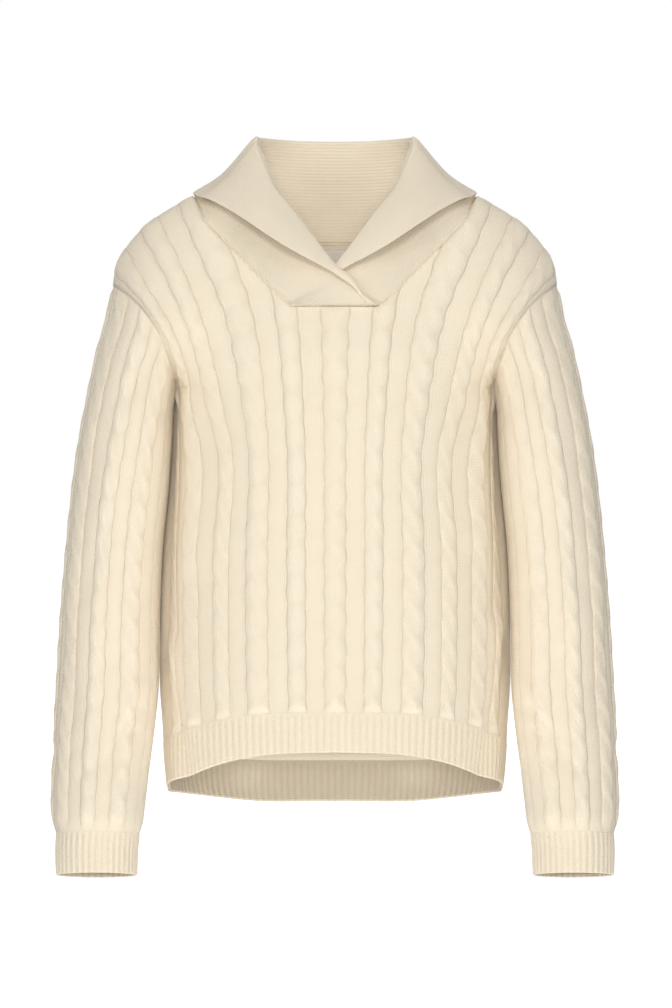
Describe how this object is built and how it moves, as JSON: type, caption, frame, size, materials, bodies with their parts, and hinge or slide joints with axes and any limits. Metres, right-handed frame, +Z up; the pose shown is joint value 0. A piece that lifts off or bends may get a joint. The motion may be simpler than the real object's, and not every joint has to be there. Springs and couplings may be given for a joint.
{
  "type": "cable knit sweater",
  "caption": "Cable-knit pullover with a crossed shawl collar, dropped shoulders, ribbed cuffs and a high-low ribbed hem, standing hollow as if worn.",
  "frame": {"origin": "midway between the points where the shoulder seams meet the collar, 10 mm below them, where the wearer's shoulders hold the sweater up", "axes": "+Z up along the wearer's trunk, -Y to the front, +X to the wearer's left"},
  "size_m": [0.5669, 0.245, 0.7412],
  "materials": {
    "knit": "cream wool, cable knit, softly fuzzy",
    "rib": "cream wool, ribbed knit, softly fuzzy",
    "label": "plain woven ribbon, bare"
  },
  "bodies": {
    "root": {"front_panel": "knit", "back_panel": "knit", "sleeve_right": "knit", "sleeve_left": "knit", "cuff_right": "rib", "cuff_left": "rib", "hem_rib_front": "rib", "hem_rib_back": "rib", "shawl_collar": "rib", "neck_label": "label"}
  },
  "joints": []
}
